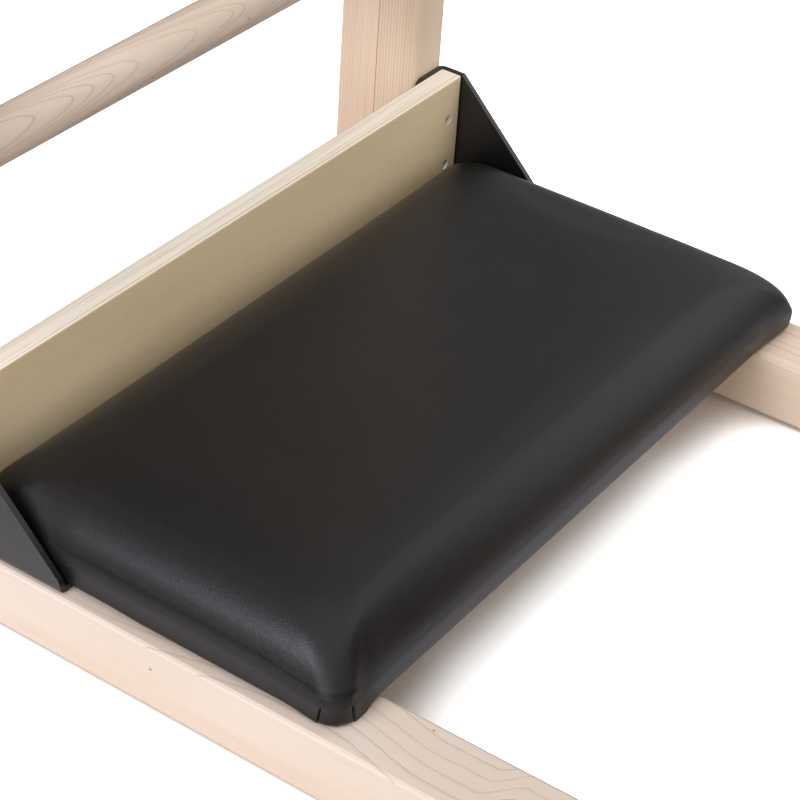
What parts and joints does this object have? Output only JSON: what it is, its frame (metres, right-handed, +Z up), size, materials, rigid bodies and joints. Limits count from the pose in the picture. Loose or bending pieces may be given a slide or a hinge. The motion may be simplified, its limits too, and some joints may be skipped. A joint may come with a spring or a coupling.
{
  "type": "pilates ladder barrel",
  "caption": "Wooden ladder with a padded foot platform facing an upholstered barrel that slides along two base rails and is clamped by hand knobs.",
  "frame": {"origin": "on the floor, under the middle of the base rails", "axes": "+Z up, +Y along the rails towards the ladder, +X across, to the right of someone who faces the ladder from the barrel"},
  "size_m": [0.7322, 1.366, 0.9501],
  "materials": {
    "beech": "satin",
    "plywood": "satin",
    "vinyl": "satin",
    "black_steel": "satin",
    "zinc_steel": "satin",
    "brass": "satin",
    "black_rubber": "matte",
    "black_plastic": "satin"
  },
  "bodies": {
    "frame": {"base_rail_left": "beech", "base_rail_right": "beech", "bracket_screw_left_1": "zinc_steel", "bracket_screw_left_2": "zinc_steel", "bracket_screw_right_1": "zinc_steel", "bracket_screw_right_2": "zinc_steel", "end_stretcher": "beech", "foot_barrel_end_left": "black_rubber", "foot_barrel_end_right": "black_rubber", "foot_ladder_end_left": "black_rubber", "foot_ladder_end_right": "black_rubber", "kick_board": "plywood", "kick_screw_left_1": "zinc_steel", "kick_screw_left_2": "zinc_steel", "kick_screw_right_1": "zinc_steel", "kick_screw_right_2": "zinc_steel", "ladder_stretcher": "beech", "rung_1": "beech", "rung_2": "beech", "rung_3": "beech", "rung_4": "beech", "step_board": "plywood", "step_bracket_left": "black_steel", "step_bracket_right": "black_steel", "step_bumper_left": "black_rubber", "step_bumper_right": "black_rubber", "step_cushion": "vinyl", "step_screw_left_1": "zinc_steel", "step_screw_left_2": "zinc_steel", "step_screw_right_1": "zinc_steel", "step_screw_right_2": "zinc_steel", "step_stretcher": "beech", "upright_bolt_left": "zinc_steel", "upright_bolt_right": "zinc_steel", "upright_left": "beech", "upright_right": "beech"},
    "barrel": {"barrel_crossbar_front": "beech", "barrel_crossbar_rear": "beech", "barrel_cushion": "vinyl", "barrel_shell": "plywood", "barrel_side_left": "beech", "barrel_side_right": "beech", "clamp_insert_left": "brass", "clamp_insert_right": "brass", "glide_strip_left": "black_plastic", "glide_strip_right": "black_plastic", "runner_bolt_left_front": "zinc_steel", "runner_bolt_left_rear": "zinc_steel", "runner_bolt_right_front": "zinc_steel", "runner_bolt_right_rear": "zinc_steel", "runner_left": "beech", "runner_right": "beech"},
    "clamp_left_thrust": {"clamp_washer_left": "zinc_steel"},
    "clamp_right_thrust": {"clamp_washer_right": "zinc_steel"},
    "clamp_left": {"clamp_knob_left": "black_plastic", "clamp_stud_left": "zinc_steel"},
    "clamp_right": {"clamp_knob_right": "black_plastic", "clamp_stud_right": "zinc_steel"}
  },
  "joints": [
    {"name": "barrel_slide", "type": "slide", "parent": "frame", "child": "barrel", "axis": [0, 1, 0], "range_m": [0, 0.18]},
    {"name": "clamp_left_advance", "type": "slide", "parent": "barrel", "child": "clamp_left_thrust", "axis": [-1, 0, 0], "range_m": [0, 0.0025]},
    {"name": "clamp_left_turn", "type": "hinge", "parent": "clamp_left_thrust", "child": "clamp_left", "pos_m": [-0.337, -0.3556, 0.03155], "axis": [-1, 0, 0], "range_deg": [0, 720]},
    {"name": "clamp_right_advance", "type": "slide", "parent": "barrel", "child": "clamp_right_thrust", "axis": [1, 0, 0], "range_m": [0, 0.0025]},
    {"name": "clamp_right_turn", "type": "hinge", "parent": "clamp_right_thrust", "child": "clamp_right", "pos_m": [0.337, -0.3556, 0.03155], "axis": [1, 0, 0], "range_deg": [0, 720]}
  ],
  "couplings": [
    {"joint": "clamp_left_turn", "follows": "clamp_left_advance", "rad_per_m": 5026.5},
    {"joint": "clamp_right_turn", "follows": "clamp_right_advance", "rad_per_m": 5026.5}
  ]
}
